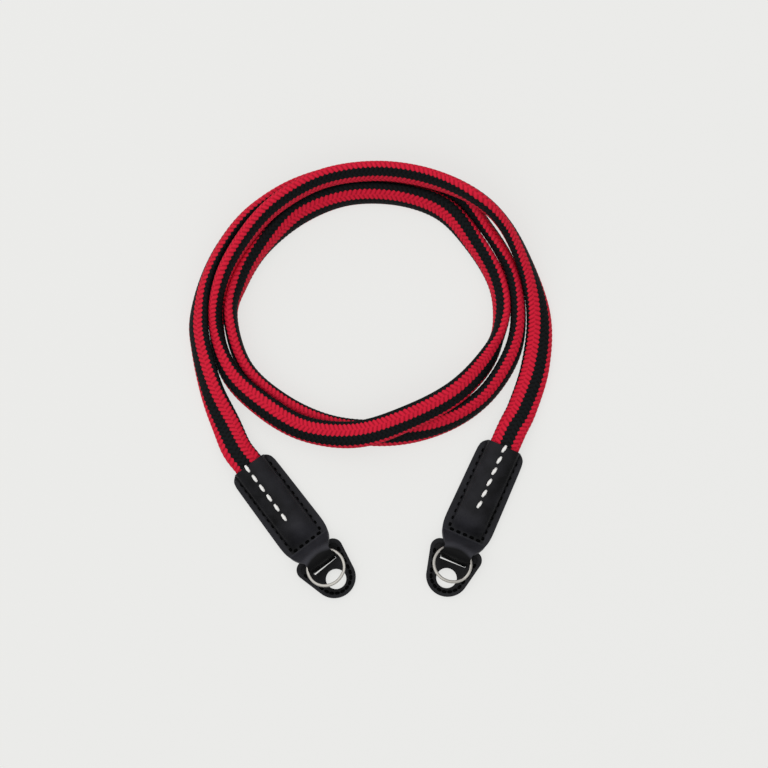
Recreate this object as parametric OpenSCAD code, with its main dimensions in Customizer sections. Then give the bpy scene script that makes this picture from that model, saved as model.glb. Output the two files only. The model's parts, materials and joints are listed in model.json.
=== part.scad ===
// Braided neck cord for a small camera. Each end of one oval cord is sewn into a folded leather tab.
// The fold holds a split ring and a two-layer leather guard, whose hole goes over the camera's lug.
// Millimetres, +Z up. The cord lies coiled on a table at z = 0, and the two ends point towards -Y.

/* [Cord] */
// Width of the oval cord
cord_w = 11; // [9:0.1:11.4]
// Thickness of the oval cord
cord_t = 5.1; // [4:0.1:5.2]
// Wall of the braided sheath
sheath_wall = 1.1; // [0.7:0.1:1.4]
// Length of cord sewn into each tab
cord_grip = 33; // [26:0.5:34]

/* [Leather tab] */
// Thickness of the tab's leather
tab_t = 1.1; // [0.8:0.1:1.4]
// Leather outside the seam, at the mouth
tab_margin = 2.4; // [1.8:0.1:4]
// How much each side widens from the mouth to the end of the cord
tab_flare = 0.6; // [0:0.1:1.5]
// Radius of the corners at the mouth
mouth_corner = 4.4; // [2:0.1:6]
// Length of the slope past the end of the cord
slope_l = 3.8; // [3:0.1:6]
// Length of the flat leather behind the fold, where the cross row is sewn
flat_l = 2.1; // [1.8:0.1:4]
// How much each side narrows from the neck to the tongue
tongue_step = 0.6; // [0:0.1:1]

/* [Split ring] */
// Outer diameter of the split ring
ring_od = 16; // [14:0.1:18]
// Width of its flat wire, measured along the radius
ring_wire_w = 1.1; // [0.8:0.05:1.3]
// Height of its flat wire
ring_wire_h = 0.56; // [0.4:0.02:0.7]
// Angle at which the ring stands up out of the fold
ring_rest = 22; // [5:1:40]

/* [Guard] */
// Thickness of each of the guard's two layers
guard_layer = 0.85; // [0.6:0.05:1]
// Radius of the guard's round end
guard_end_r = 8.6; // [7.5:0.1:10]
// Distance from the slit to the centre of the round end
guard_l = 6; // [5:0.1:8]
// Radius of the guard's shoulders
shoulder_r = 3.9; // [3:0.1:4.5]
// Width across the shoulders
guard_w = 21.6; // [19:0.1:24]
// Radius of the lug hole
hole_r = 4.1; // [3:0.1:5]
// Distance from the slit to the lug hole's centre
hole_l = 7.2; // [6.4:0.1:9]
// Distance from the slit to the guard's hidden edge
guard_back = 7.1; // [6:0.1:8]
// Opening of the slit in front of the tongue
slit_front = 0.65; // [0.4:0.05:1.5]
// Turn of each guard in its fold, seen from above
guard_yaw = 2.5; // [0:0.1:3]

/* [Sewing] */
// Diameter of the black sewing thread
thread_d = 0.56; // [0.4:0.02:0.7]
// Pitch of the black stitches in a tab
tab_pitch = 2.9; // [1.8:0.1:3.5]
// Pitch of the black stitches in a guard
guard_pitch = 2.7; // [1.8:0.1:3.5]
// Distance of the guard's stitches from its edge
guard_seam = 1.9; // [1.4:0.1:2.4]
// Diameter of the white waxed thread
white_d = 1.1; // [0.8:0.05:1.4]
// Pitch of the white hand stitches
white_pitch = 4.85; // [4.6:0.05:5.2]
// Length of each white hand stitch
white_l = 2.6; // [2:0.1:3.2]

/* [Hidden] */
$fn = 64;

slip = 0.05;            // running gap between layers that lie on each other
fit = 0.1;              // gap between the cord and its pocket
core_gap = 0.35;        // gap between the sheath and its faceted core
guard_gap = 0.15;       // room below the guard for it to rock
tongue_gap = 0.45;      // behind the tongue in the slit
tongue_side = 0.4;      // on each side of the tongue in the slit
neck_room = 1;          // on each side of the neck inside the ring
ring_room = 0.1;        // round the ring in the fold
seam_gap = 0.6;         // from the raised leather to the side rows
tongue_room = 1.45;     // from the fold round the ring to the tongue
eps = 0.01;

leather_black = "#2A2A2C";
nickel = "#C9C7C2";
thread_black = "#151516";
thread_white = "#E4E2DA";
braid_red = "#C81E34";
core_white = "#D9D6CC";

// Where the tabs' mouths lie, and the way that the tabs point
left_mouth = [-51.8, 21.75];
left_turn = -53;
right_mouth = [50.3, 29.05];
right_turn = -114;

// The cord's free route, clockwise from the left tab: x, y, gap below the cord, roll of its oval
route_points = [
    [-60.5, 37, 0.2, 14], [-66.5, 51.5, 0, 40], [-70.5, 67.5, 0, 52], [-71.6, 79.5, 0, 58],
    [-68.6, 94.5, 0, 78], [-61.5, 109, 0, 90], [-50.2, 122.2, 0, 100], [-33, 131.5, 0, 132],
    [-12, 137, 0, 140], [10, 137, 0, 138], [29.5, 130.5, 0, 130], [43.5, 115.5, 0, 92],
    [53, 98.5, 0, 90], [55.7, 79.5, 0, 78], [52.1, 63.7, 0, 62], [41.2, 48.3, 0, 58],
    [25, 38.4, 0, 46], [4, 34.4, 0, 24], [-18.2, 36.6, 0, 38], [-37.2, 45.7, 0, 58],
    [-52.8, 60.3, 0, 76], [-58.9, 79.5, 0, 90], [-56, 93.5, 0, 116], [-47, 108.5, 0, 122],
    [-32, 122, 0, 140], [-13, 129.5, 0, 136], [8, 129.5, 0, 133], [26, 123.5, 0, 140],
    [38.5, 110, 0, 130], [47.3, 94.4, 0, 121], [48.9, 79.5, 0, 109], [43.5, 64.5, 1.5, 56],
    [31, 51, 8.3, 38], [13, 41, 9, 30], [-8, 34, 7, 18], [-29, 36, 5, 30],
    [-46, 45.5, 5, 33], [-59.5, 58.9, 2.5, 54], [-64.7, 77.3, 0, 91], [-62.3, 95.5, 4.6, 101],
    [-52.8, 112.4, 7.3, 112], [-39.7, 126, 9, 120], [-21.5, 135.6, 9, 122], [0, 138.5, 8.5, 124],
    [20.7, 135.4, 10, 122], [38.5, 127.7, 12.4, 106], [50.7, 116.3, 6.2, 84], [59.7, 97.9, 1.2, 62],
    [64, 79.5, 0, 34], [62.5, 60.5, 0, 16], [57.5, 44.5, 0.2, 8]
];
straight_out = 8;       // the cord runs straight for this far outside each mouth
cord_sides = 10;
core_sides = 6;
rings_per_point = 2;

// ---- the cord's route ----

function along(mouth, turn, d) = [mouth.x + d * cos(turn), mouth.y + d * sin(turn)];
function in_tab(mouth, turn, d) = concat(along(mouth, turn, d), [tab_t + fit, 0]);
grip_steps = 3;

route = concat(
    [for (i = [grip_steps:-1:0]) in_tab(left_mouth, left_turn, cord_grip * i / grip_steps)],
    [in_tab(left_mouth, left_turn, -straight_out)],
    route_points,
    [in_tab(right_mouth, right_turn, -straight_out)],
    [for (i = [0:grip_steps]) in_tab(right_mouth, right_turn, cord_grip * i / grip_steps)]
);
last = len(route) - 1;

function curve(a, b, c, d, t) =
    0.5 * (2 * b + (c - a) * t + (2 * a - 5 * b + 4 * c - d) * t * t + (3 * b - a - 3 * c + d) * t * t * t);
function before(i) = i > 0 ? route[i - 1] : 2 * route[0] - route[1];
function after(i) = i < last ? route[i + 1] : 2 * route[last] - route[last - 1];
function route_at(u) =
    let (i = max(0, min(floor(u), last - 1)))
    curve(before(i), route[i], route[i + 1], after(i + 1), u - i);
// The cord's middle is half its rolled height above what it lies on
function half_height(roll) = norm([cord_w / 2 * sin(roll), cord_t / 2 * cos(roll)]);
function middle(u) = let (p = route_at(u)) [p.x, p.y, max(0, p[2]) + half_height(p[3])];
function heading(u) =
    let (step = middle(min(u + 0.05, last)) - middle(max(u - 0.05, 0)))
    step / norm(step);
// Across and up at one place on the cord, before its roll
function across(u) = let (h = heading(u)) [-h.y, h.x, 0] / norm([h.x, h.y]);
function upward(u) = cross(heading(u), across(u));
function wide_axis(u) = let (r = route_at(u)[3]) across(u) * cos(r) - upward(u) * sin(r);
function thin_axis(u) = let (r = route_at(u)[3]) upward(u) * cos(r) + across(u) * sin(r);
function cord_ring(u, inset, sides) = [
    for (k = [0:sides - 1])
        middle(u) + wide_axis(u) * (cord_w / 2 - inset) * cos(360 * k / sides)
            + thin_axis(u) * (cord_t / 2 - inset) * sin(360 * k / sides)
];
function cord_points(inset, sides) = [
    for (i = [0:last * rings_per_point], p = cord_ring(i / rings_per_point, inset, sides)) p
];

function wall_faces(first, rings, sides, flip) = [
    for (i = [0:rings - 2], k = [0:sides - 1])
        let (
            a = first + i * sides + k,
            b = first + i * sides + (k + 1) % sides,
            c = b + sides,
            d = a + sides
        )
        each flip ? [[a, c, b], [a, d, c]] : [[a, b, c], [a, c, d]]
];
function cap_faces(first, sides, flip) = [
    for (k = [1:sides - 2]) flip ? [first, first + k + 1, first + k] : [first, first + k, first + k + 1]
];
function rim_faces(outer, inner, sides, flip) = [
    for (k = [0:sides - 1])
        let (a = outer + k, b = outer + (k + 1) % sides, c = inner + (k + 1) % sides, d = inner + k)
        each flip ? [[a, c, b], [a, d, c]] : [[a, b, c], [a, c, d]]
];

module solid_cord(inset, sides) {
    rings = last * rings_per_point + 1;
    polyhedron(
        cord_points(inset, sides),
        concat(
            wall_faces(0, rings, sides, true),
            cap_faces(0, sides, false),
            cap_faces((rings - 1) * sides, sides, true)
        )
    );
}

module hollow_cord(wall, sides) {
    rings = last * rings_per_point + 1;
    half = rings * sides;
    polyhedron(
        concat(cord_points(0, sides), cord_points(wall, sides)),
        concat(
            wall_faces(0, rings, sides, true),
            wall_faces(half, rings, sides, false),
            rim_faces(0, half, sides, false),
            rim_faces(half - sides, 2 * half - sides, sides, true)
        )
    );
}

// ---- the cord's length and its least gap to itself, measured on points of its surface ----

measured = [for (i = [0:last * rings_per_point]) i / rings_per_point];
middles = [for (u = measured) middle(u)];
function total(v, i = 0) = i < len(v) ? v[i] + total(v, i + 1) : 0;
cord_length = total([for (i = [1:len(middles) - 1]) norm(middles[i] - middles[i - 1])]);
near_enough = cord_w + 3;
skip = 4 * rings_per_point;
function to_section(p, j) =
    let (
        step = middles[j + 1] - middles[j],
        t = (p - middles[j]) * step / (step * step),
        u = measured[j] + t / rings_per_point,
        from_middle = p - middles[j] - t * step,
        x = from_middle * wide_axis(u),
        y = from_middle * thin_axis(u),
        f = norm([x * 2 / cord_w, y * 2 / cord_t]),
        g = norm([x * 4 / pow(cord_w, 2), y * 4 / pow(cord_t, 2)])
    )
    t < 0 || t > 1 ? near_enough : (f - 1) * f / g;
gaps = [
    for (i = [0:len(middles) - 1], j = [0:len(middles) - 2])
        if (abs(i - j) > skip && norm(middles[i] - middles[j]) < near_enough)
            each [for (p = cord_ring(measured[i], 0, cord_sides)) to_section(p, j)]
];

module cord_sheath() {
    echo(str("The cord is ", round(cord_length), " mm long, and its least gap to itself is ",
        round(min(gaps) * 100) / 100, " mm"));
    color(braid_red) hollow_cord(sheath_wall, cord_sides);
}

module cord_core() {
    color(core_white) solid_cord(sheath_wall + core_gap, core_sides);
}

// ---- one end, drawn along +X from its mouth at the origin ----

neck_half = ring_od / 2 - ring_wire_w - neck_room;
tongue_half = neck_half - tongue_step;
slit_l = 2 * (tongue_half + tongue_side);
slit_w = tongue_gap + tab_t + slit_front;

guard_t = 2 * guard_layer + slip;
pivot_z = tab_t + guard_gap + guard_t / 2;      // middle of the guard in the fold, and its hinge line
guard_tip = guard_l + guard_end_r;
droop = asin((pivot_z - guard_t / 2) / guard_tip);  // the guard's tip lies on the table

ring_h = 2 * ring_wire_h + slip;
// Depth of the ring's arc that lies in the fold, which turns about the arc's middle
arc_depth = ring_od / 2 - sqrt(pow(ring_od / 2 - ring_wire_w, 2) - pow(neck_half, 2));
ring_reach = ring_od / 2 - arc_depth / 2;       // from the hinge line to the ring's centre
loop_r = norm([arc_depth / 2, ring_h / 2]) + ring_room;
loop_mid = loop_r + tab_t / 2;

dome_z = tab_t + fit + cord_t / 2;              // middle of the cord in its pocket
dome_rise = cord_t / 2 + fit + tab_t;
dome_half = cord_w / 2 + fit + 0.9 * tab_t;
dome_top = dome_z + dome_rise;
deck_z = 2 * tab_t + slip;                      // top of the two sewn layers
dome_end = cord_grip + fit + tab_t;
dome_foot = dome_end + slope_l;
seam_x = dome_foot + flat_l / 3;
seam_y = dome_half + seam_gap;
mouth_half = seam_y + tab_margin;

// The fold starts where the flat leather ends, and rises over the ring
back_angle = 150;
top_mid = tab_t + slip + tab_t / 2;
fold_reach = loop_mid + tongue_room;            // from the hinge line to the tongue
slit_reach = fold_reach - tab_t / 2 - tongue_gap + slit_w / 2;
loop_z = pivot_z + guard_t / 2 + slit_reach * sin(droop) + slip + loop_r;
back_foot = dome_foot + flat_l;
loop_x = back_foot + (loop_z + loop_mid * sin(back_angle) - top_mid) / tan(back_angle - 90)
    - loop_mid * cos(back_angle);
tab_l = loop_x + fold_reach;
slit_x = loop_x + slit_reach;

module oval(half_w, half_h, centre_z) {
    polygon([for (a = [0:10:350]) [half_w * cos(a), centre_z + half_h * sin(a)]]);
}

// A profile in the Y-Z plane, pulled along +X
module pull_along(from, to) {
    translate([from, 0, 0]) rotate([90, 0, 90]) linear_extrude(to - from) children();
}

// Half the tab's width at a distance from its mouth
neck_from = loop_x - 1;
neck_to = loop_x + loop_r;
function tab_half(x) =
    x < cord_grip ? mouth_half + tab_flare * x / cord_grip
    : x < neck_from ? neck_half + (mouth_half + tab_flare - neck_half)
        * (1 - pow((x - cord_grip) / (neck_from - cord_grip), 3))
    : x < neck_to ? neck_half
    : x < tab_l - tab_t ? neck_half - tongue_step * (x - neck_to) / (tab_l - tab_t - neck_to)
    : tongue_half;
mouth_arc = [
    for (a = [0:10:90])
        let (x = mouth_corner * (1 - cos(a)))
        [x, tab_half(x) - mouth_corner * (1 - sin(a))]
];
tab_side = concat(mouth_arc, [for (x = [cord_grip:1:tab_l + 2 * tab_t]) [x, tab_half(x)]]);

module tab_plan() {
    polygon(concat(tab_side, [for (i = [len(tab_side) - 1:-1:0]) [tab_side[i].x, -tab_side[i].y]]));
}

// The strap seen from the side: top layer, loop over the ring, tongue, and bottom layer
tongue_top = pivot_z + guard_t / 2 + tongue_gap;
tongue_from = [tab_l, tongue_top] - [loop_x, loop_z];
tongue_angle = atan2(tongue_from.y, tongue_from.x) + acos(loop_mid / norm(tongue_from));
turn_r = 0.75 * tab_t;
strap_line = concat(
    [[0, top_mid], [back_foot, top_mid]],
    [for (i = [0:12])
        let (a = back_angle + (tongue_angle - back_angle) * i / 12)
        [loop_x + loop_mid * cos(a), loop_z + loop_mid * sin(a)]],
    [[tab_l, tongue_top]],
    [for (a = [0:-15:-90]) [tab_l - turn_r + turn_r * cos(a), tab_t / 2 + turn_r + turn_r * sin(a)]],
    [[0, tab_t / 2]]
);

// The corner of a line offset to one side by a distance
function unit(v) = v / norm(v);
function side_of(v) = [-v.y, v.x];
function edge_point(line, i, d) =
    let (
        n1 = side_of(unit(i > 0 ? line[i] - line[i - 1] : line[1] - line[0])),
        n2 = side_of(unit(i < len(line) - 1 ? line[i + 1] - line[i] : line[i] - line[i - 1]))
    )
    line[i] + (n1 + n2) * d / (1 + n1 * n2);

module strap_side(line, thickness) {
    polygon(concat(
        [for (i = [0:len(line) - 1]) edge_point(line, i, thickness / 2)],
        [for (i = [len(line) - 1:-1:0]) edge_point(line, i, -thickness / 2)]
    ));
}

module strap() {
    intersection() {
        translate([0, 2 * mouth_half, 0]) rotate([90, 0, 0]) linear_extrude(4 * mouth_half)
            strap_side(strap_line, tab_t);
        linear_extrude(2 * loop_z) tab_plan();
    }
}

// The raised leather over the cord, which slopes down to the cross row
module dome() {
    pull_along(0, dome_end) dome_side(10);
    hull() {
        pull_along(dome_end - eps, dome_end) dome_side(20);
        translate([dome_foot - tab_t, -0.7 * dome_half, tab_t + slip])
            cube([tab_t, 1.4 * dome_half, tab_t + slip]);
    }
}

module dome_side(step) {
    polygon(concat(
        [[dome_half, tab_t + slip], [dome_half, deck_z]],
        [for (a = [10:step:170]) [dome_half * cos(a), dome_z + dome_rise * sin(a)]],
        [[-dome_half, deck_z], [-dome_half, tab_t + slip]]
    ));
}

hole_gap = 0.07;        // between the two legs that share a hole
hole_d = 1.5 * thread_d;
white_leg = 0.75 * white_d;
white_from = -0.5;      // the first white stitch wraps the edge of the mouth
white_room = 3;         // from the last white stitch to the end of the cord
white_x = [white_from:white_pitch:cord_grip - white_room - white_l];
seam_from = 3.4;
side_count = round((seam_x - seam_from) / tab_pitch);
cross_count = round(2 * seam_y / tab_pitch);
// The holes of the black seam, down one side, across and back up the other
seam_holes = concat(
    [for (i = [0:side_count]) [seam_from + (seam_x - seam_from) * i / side_count, seam_y]],
    [for (i = [1:cross_count]) [seam_x, seam_y - 2 * seam_y * i / cross_count]],
    [for (i = [1:side_count]) [seam_x - (seam_x - seam_from) * i / side_count, -seam_y]]
);

module tab_leather(white_y) {
    color(leather_black) difference() {
        union() {
            strap();
            dome();
        }
        pull_along(-1, cord_grip + fit) oval(cord_w / 2 + fit, cord_t / 2 + fit, dome_z);
        for (p = seam_holes)
            translate([p.x, p.y, 0.3]) cylinder(d = hole_d, h = deck_z, $fn = 16);
        for (x = white_x, end = [0, white_l])
            translate([x + end, white_y, dome_z]) cylinder(d = white_leg + fit, h = 2 * dome_rise, $fn = 16);
    }
}

// One stitch: a bar that lies on the leather, with a leg down the hole at each end
module stitch(p, q, d, top, depth) {
    length = norm(q - p);
    leg = d / 2 - hole_gap;
    translate([p.x, p.y, top]) rotate([90, 0, atan2(q.y - p.y, q.x - p.x)]) translate([0, 0, -d / 2])
        linear_extrude(d) polygon([
            [hole_gap, -depth], [hole_gap + leg, -depth], [hole_gap + leg, slip],
            [length - hole_gap - leg, slip], [length - hole_gap - leg, -depth], [length - hole_gap, -depth],
            [length - hole_gap, d * 0.6], [length - leg, d], [leg, d], [hole_gap, d * 0.6]
        ]);
}

module row_of_stitches(holes, d, top, depth) {
    for (i = [0:len(holes) - 2]) stitch(holes[i], holes[i + 1], d, top, depth);
}

module tab_thread() {
    color(thread_black) row_of_stitches(seam_holes, thread_d, deck_z, tab_t);
}

module white_thread(white_y) {
    color(thread_white) for (x = white_x) {
        translate([x, white_y, dome_top + white_d / 2 + slip / 2]) {
            rotate([0, 90, 0]) cylinder(d = white_d, h = white_l, $fn = 24);
            for (end = [0, white_l])
                translate([end, 0, 0]) sphere(d = white_d, $fn = 24);
        }
        for (end = [0, white_l])
            translate([x + end, white_y, dome_top - tab_t + slip])
                cylinder(d = white_leg, h = tab_t + white_d / 2, $fn = 16);
    }
}

// ---- the split ring, drawn flat round its own centre ----

ring_sides = 48;
ring_first = 24;        // the lower turn starts here, in degrees
ring_climb = 40;        // and steps up to the upper turn over this angle
function ring_level(a) =
    let (s = min(1, max(0, (a - 360 + ring_climb / 2) / ring_climb)))
    (ring_wire_h + slip) * (s * s * (3 - 2 * s) - 0.5);
ring_angles = [for (i = [0:ring_sides * 2]) ring_first + (720 - 2 * ring_first) * i / (ring_sides * 2)];

module split_ring() {
    inner = ring_od / 2 - ring_wire_w;
    outer = ring_od / 2;
    half = ring_wire_h / 2;
    color(nickel) polyhedron(
        [for (a = ring_angles, c = [[inner, -half], [outer, -half], [outer, half], [inner, half]])
            [c.x * cos(a), c.x * sin(a), ring_level(a) + c.y]],
        concat(
            wall_faces(0, len(ring_angles), 4, false),
            cap_faces(0, 4, true),
            cap_faces((len(ring_angles) - 1) * 4, 4, false)
        )
    );
}

module ring_in_fold(step) {
    translate([loop_x, 0, loop_z]) rotate([0, -ring_rest, 0]) translate([ring_reach, 0, 0])
        rotate([0, 0, step]) split_ring();
}

// ---- the guard, drawn flat with its slit at the origin ----

shoulder = [shoulder_r - guard_back, guard_w / 2 - shoulder_r];
side_angle = let (v = [guard_l, 0] - shoulder)
    atan2(v.y, v.x) + acos((shoulder_r - guard_end_r) / norm(v));

module guard_plan() {
    side_way = [cos(side_angle), sin(side_angle)];
    from_end = [guard_l, 0] + guard_end_r * side_way;
    from_shoulder = shoulder + shoulder_r * side_way;
    half = [[guard_l, 0], from_end, from_shoulder, shoulder, [-guard_back, shoulder.y]];
    translate([guard_l, 0]) circle(guard_end_r);
    for (side = [1, -1])
        translate([shoulder.x, side * shoulder.y]) circle(shoulder_r);
    polygon(concat(half, [for (i = [len(half) - 1:-1:1]) [half[i].x, -half[i].y]]));
}

// The guard's stitches: round the end, along one side, round the shoulder, and the same mirrored
end_run = guard_end_r - guard_seam;
end_steps = ceil(side_angle * PI / 180 * end_run / guard_pitch);
side_start = [guard_l, 0] + end_run * [cos(side_angle), sin(side_angle)];
side_finish = shoulder + (shoulder_r - guard_seam) * [cos(side_angle), sin(side_angle)];
side_steps = round(norm(side_finish - side_start) / guard_pitch);
half_seam = concat(
    [for (i = [0:end_steps])
        let (a = side_angle * i / end_steps)
        [guard_l, 0] + end_run * [cos(a), sin(a)]],
    [for (i = [1:side_steps]) side_start + (side_finish - side_start) * i / side_steps]
);
guard_holes = concat(
    [for (i = [len(half_seam) - 1:-1:1]) [half_seam[i].x, -half_seam[i].y]],
    half_seam
);

module guard_layer_cut(z) {
    difference() {
        translate([0, 0, z]) linear_extrude(guard_layer) guard_plan();
        translate([hole_l, 0, z - 1]) cylinder(r = hole_r, h = guard_layer + 2, $fn = 96);
        translate([-slit_w / 2, -slit_l / 2, z - 1]) cube([slit_w, slit_l, guard_layer + 2]);
        for (p = guard_holes)
            translate([p.x, p.y, z - 1]) cylinder(d = hole_d, h = guard_layer + 2, $fn = 16);
    }
}

module in_fold() {
    translate([slit_x, 0, pivot_z]) rotate([0, droop, guard_yaw]) children();
}

module guard_front() {
    color(leather_black) in_fold() guard_layer_cut(slip / 2);
}

// The back layer is pared away behind the slit, so the guard can rock in the fold
module guard_back() {
    pare = guard_back - slit_w / 2;
    color(leather_black) in_fold() difference() {
        guard_layer_cut(-slip / 2 - guard_layer);
        translate([-slit_w / 2, 0, -slip / 2 - guard_layer]) rotate([0, atan(guard_layer * 0.8 / pare), 0])
            translate([-2 * pare, -guard_w, -3]) cube([2 * pare, 2 * guard_w, 3]);
    }
}

module guard_thread() {
    color(thread_black) in_fold() row_of_stitches(guard_holes, thread_d, guard_t / 2, guard_t * 0.7);
}

// ---- both ends in place ----

module at_left() {
    translate([left_mouth.x, left_mouth.y, 0]) rotate([0, 0, left_turn]) children();
}

module at_right() {
    translate([right_mouth.x, right_mouth.y, 0]) rotate([0, 0, right_turn]) children();
}

left_white_y = -1.3;
right_white_y = 0.5;
left_step = 60;         // where each ring's two turns cross
right_step = 75;

cord_sheath();
cord_core();
at_left() tab_leather(left_white_y);  // left_tab_leather
at_left() tab_thread();  // left_tab_thread
at_left() white_thread(left_white_y);  // left_white_thread
at_left() ring_in_fold(left_step);  // left_split_ring
at_left() guard_front();  // left_guard_front
at_left() guard_back();  // left_guard_back
at_left() guard_thread();  // left_guard_thread
at_right() tab_leather(right_white_y);  // right_tab_leather
at_right() tab_thread();  // right_tab_thread
at_right() white_thread(right_white_y);  // right_white_thread
at_right() ring_in_fold(right_step);  // right_split_ring
at_right() guard_front();  // right_guard_front
at_right() guard_back();  // right_guard_back
at_right() guard_thread();  // right_guard_thread
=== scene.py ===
import json
import math

import bpy
import numpy as np
from mathutils import Matrix, Vector, noise


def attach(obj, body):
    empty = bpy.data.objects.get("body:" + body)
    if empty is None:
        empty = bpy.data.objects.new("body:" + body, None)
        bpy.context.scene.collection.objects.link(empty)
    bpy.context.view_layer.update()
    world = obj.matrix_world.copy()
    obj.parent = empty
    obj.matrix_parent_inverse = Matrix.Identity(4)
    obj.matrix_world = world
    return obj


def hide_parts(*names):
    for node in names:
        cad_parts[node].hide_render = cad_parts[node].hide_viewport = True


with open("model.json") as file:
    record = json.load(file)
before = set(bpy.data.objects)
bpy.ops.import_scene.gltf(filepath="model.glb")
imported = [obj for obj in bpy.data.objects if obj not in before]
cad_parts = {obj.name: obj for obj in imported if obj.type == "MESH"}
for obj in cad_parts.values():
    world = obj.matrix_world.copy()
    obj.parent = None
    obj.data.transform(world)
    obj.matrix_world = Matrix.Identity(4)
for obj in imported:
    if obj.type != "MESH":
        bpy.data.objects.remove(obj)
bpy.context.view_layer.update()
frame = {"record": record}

# Seen from above: where the mouth of each leather end lies and the way the end points, how far off its middle
# the white stitches run and how they slant, and where the step in its ring has turned to; turns in degrees
ends = {
    "left": {"mouth": (-0.0518, 0.02175), "turn": -53, "whiteRow": -0.0013, "slant": -2, "ringStep": 60},
    "right": {"mouth": (0.0503, 0.02905), "turn": -114, "whiteRow": 0.0002, "slant": -11, "ringStep": 75},
}


def endFrame(side):
    x, y = ends[side]["mouth"]
    return Matrix.Translation((x, y, 0)) @ Matrix.Rotation(math.radians(ends[side]["turn"]), 4, "Z")


# The camera looks straight down. Lengths here and below are in metres, but the sensor's is in millimetres
shot = {"centre": (0.0022, 0.05393), "height": 1.8, "acrossAtTable": 0.3072, "sensor": 36}


def addCamera():
    bpy.ops.object.camera_add(location=(*shot["centre"], shot["height"]), rotation=(0, 0, 0))
    camera = bpy.context.object
    camera.name = "camera"
    camera.data.sensor_width = shot["sensor"]
    camera.data.lens = shot["sensor"] * shot["height"] / shot["acrossAtTable"]
    bpy.context.scene.camera = camera


def deselectAll():
    if bpy.context.object and bpy.context.object.mode != "OBJECT":
        bpy.ops.object.mode_set(mode="OBJECT")
    bpy.ops.object.select_all(action="DESELECT")


def activate(piece):
    deselectAll()
    piece.select_set(True)
    bpy.context.view_layer.objects.active = piece


def applyPlace():
    bpy.ops.object.transform_apply(location=True, rotation=True, scale=True)


def applyModifier(piece, kind, **settings):
    activate(piece)
    modifier = piece.modifiers.new(kind.title(), kind)
    for name, value in settings.items():
        setattr(modifier, name, value)
    bpy.ops.object.modifier_apply(modifier=modifier.name)


def selectFaces(piece, wanted):
    activate(piece)
    bpy.ops.object.mode_set(mode="EDIT")
    bpy.ops.mesh.select_mode(type="FACE")
    bpy.ops.mesh.select_all(action="DESELECT")
    bpy.ops.object.mode_set(mode="OBJECT")
    for face in piece.data.polygons:
        face.select = wanted(face)
    bpy.ops.object.mode_set(mode="EDIT")


def pointOutwards(piece):
    activate(piece)
    bpy.ops.object.mode_set(mode="EDIT")
    bpy.ops.mesh.select_all(action="SELECT")
    bpy.ops.mesh.normals_make_consistent(inside=False)
    bpy.ops.object.mode_set(mode="OBJECT")


def joinPieces(pieces):
    deselectAll()
    for piece in pieces:
        piece.select_set(True)
    bpy.context.view_layer.objects.active = pieces[0]
    bpy.ops.object.join()
    return bpy.context.object


def finishPiece(piece, name, body, materials, nodes, smoothAngle=None):
    piece.name = name
    piece.data.materials.clear()
    for material in materials:
        piece.data.materials.append(material)
    activate(piece)
    if smoothAngle is None:
        bpy.ops.object.shade_smooth()
    else:
        bpy.ops.object.shade_smooth_by_angle(angle=math.radians(smoothAngle))
    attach(piece, body)
    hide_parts(*nodes)
    deselectAll()


def meshPiece(name, points, faces):
    mesh = bpy.data.meshes.new(name)
    mesh.from_pydata(points, [], faces)
    piece = bpy.data.objects.new(name, mesh)
    bpy.context.scene.collection.objects.link(piece)
    return piece


# A colour's sRGB hex code as the linear values that the nodes take
def linear(hexCode):
    channels = [int(hexCode[i:i + 2], 16) / 255 for i in (1, 3, 5)]
    return [c / 12.92 if c <= 0.04045 else ((c + 0.055) / 1.055) ** 2.4 for c in channels] + [1]


def addNode(tree, kind, inputs, out=0, **settings):
    made = tree.nodes.new(kind)
    for name, value in settings.items():
        setattr(made, name, value)
    for name, value in inputs.items():
        if isinstance(value, bpy.types.NodeSocket):
            tree.links.new(value, made.inputs[name])
        else:
            made.inputs[name].default_value = value
    return made.outputs[out] if made.outputs else made


def newMaterial(name):
    material = bpy.data.materials.new(name)
    material.use_nodes = True
    material.node_tree.nodes.clear()
    return material, material.node_tree


def surfaceOutput(tree, shader):
    addNode(tree, "ShaderNodeOutputMaterial", {"Surface": shader})


# Tight braid of dyed polyester yarn: soft satin strands side by side, with painted shade in the line where
# one dips under the next and a painted highlight on each strand's back, and band borders toothed by the
# strands that cross them
braid = {
    "band": 2, "slope": 0.5, "tooth": 0.15, "strandEdge": 0.36, "borderEdge": 0.2, "borderHeight": 0.8,
    "filaments": 5, "filamentHeight": 0.12, "depth": 0.00012, "strength": 0.4,
    "patch": 1 / 700, "worn": 0.5,     # patches of 1.4 mm where the yarn is worn
    # Each colour runs from its painted shade in the dips to its painted highlight on the strands' backs
    "red": ("#A31027", "#D61D38"), "black": ("#050606", "#111416"), "roughness": 0.7, "specular": 0.1,
}


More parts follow.
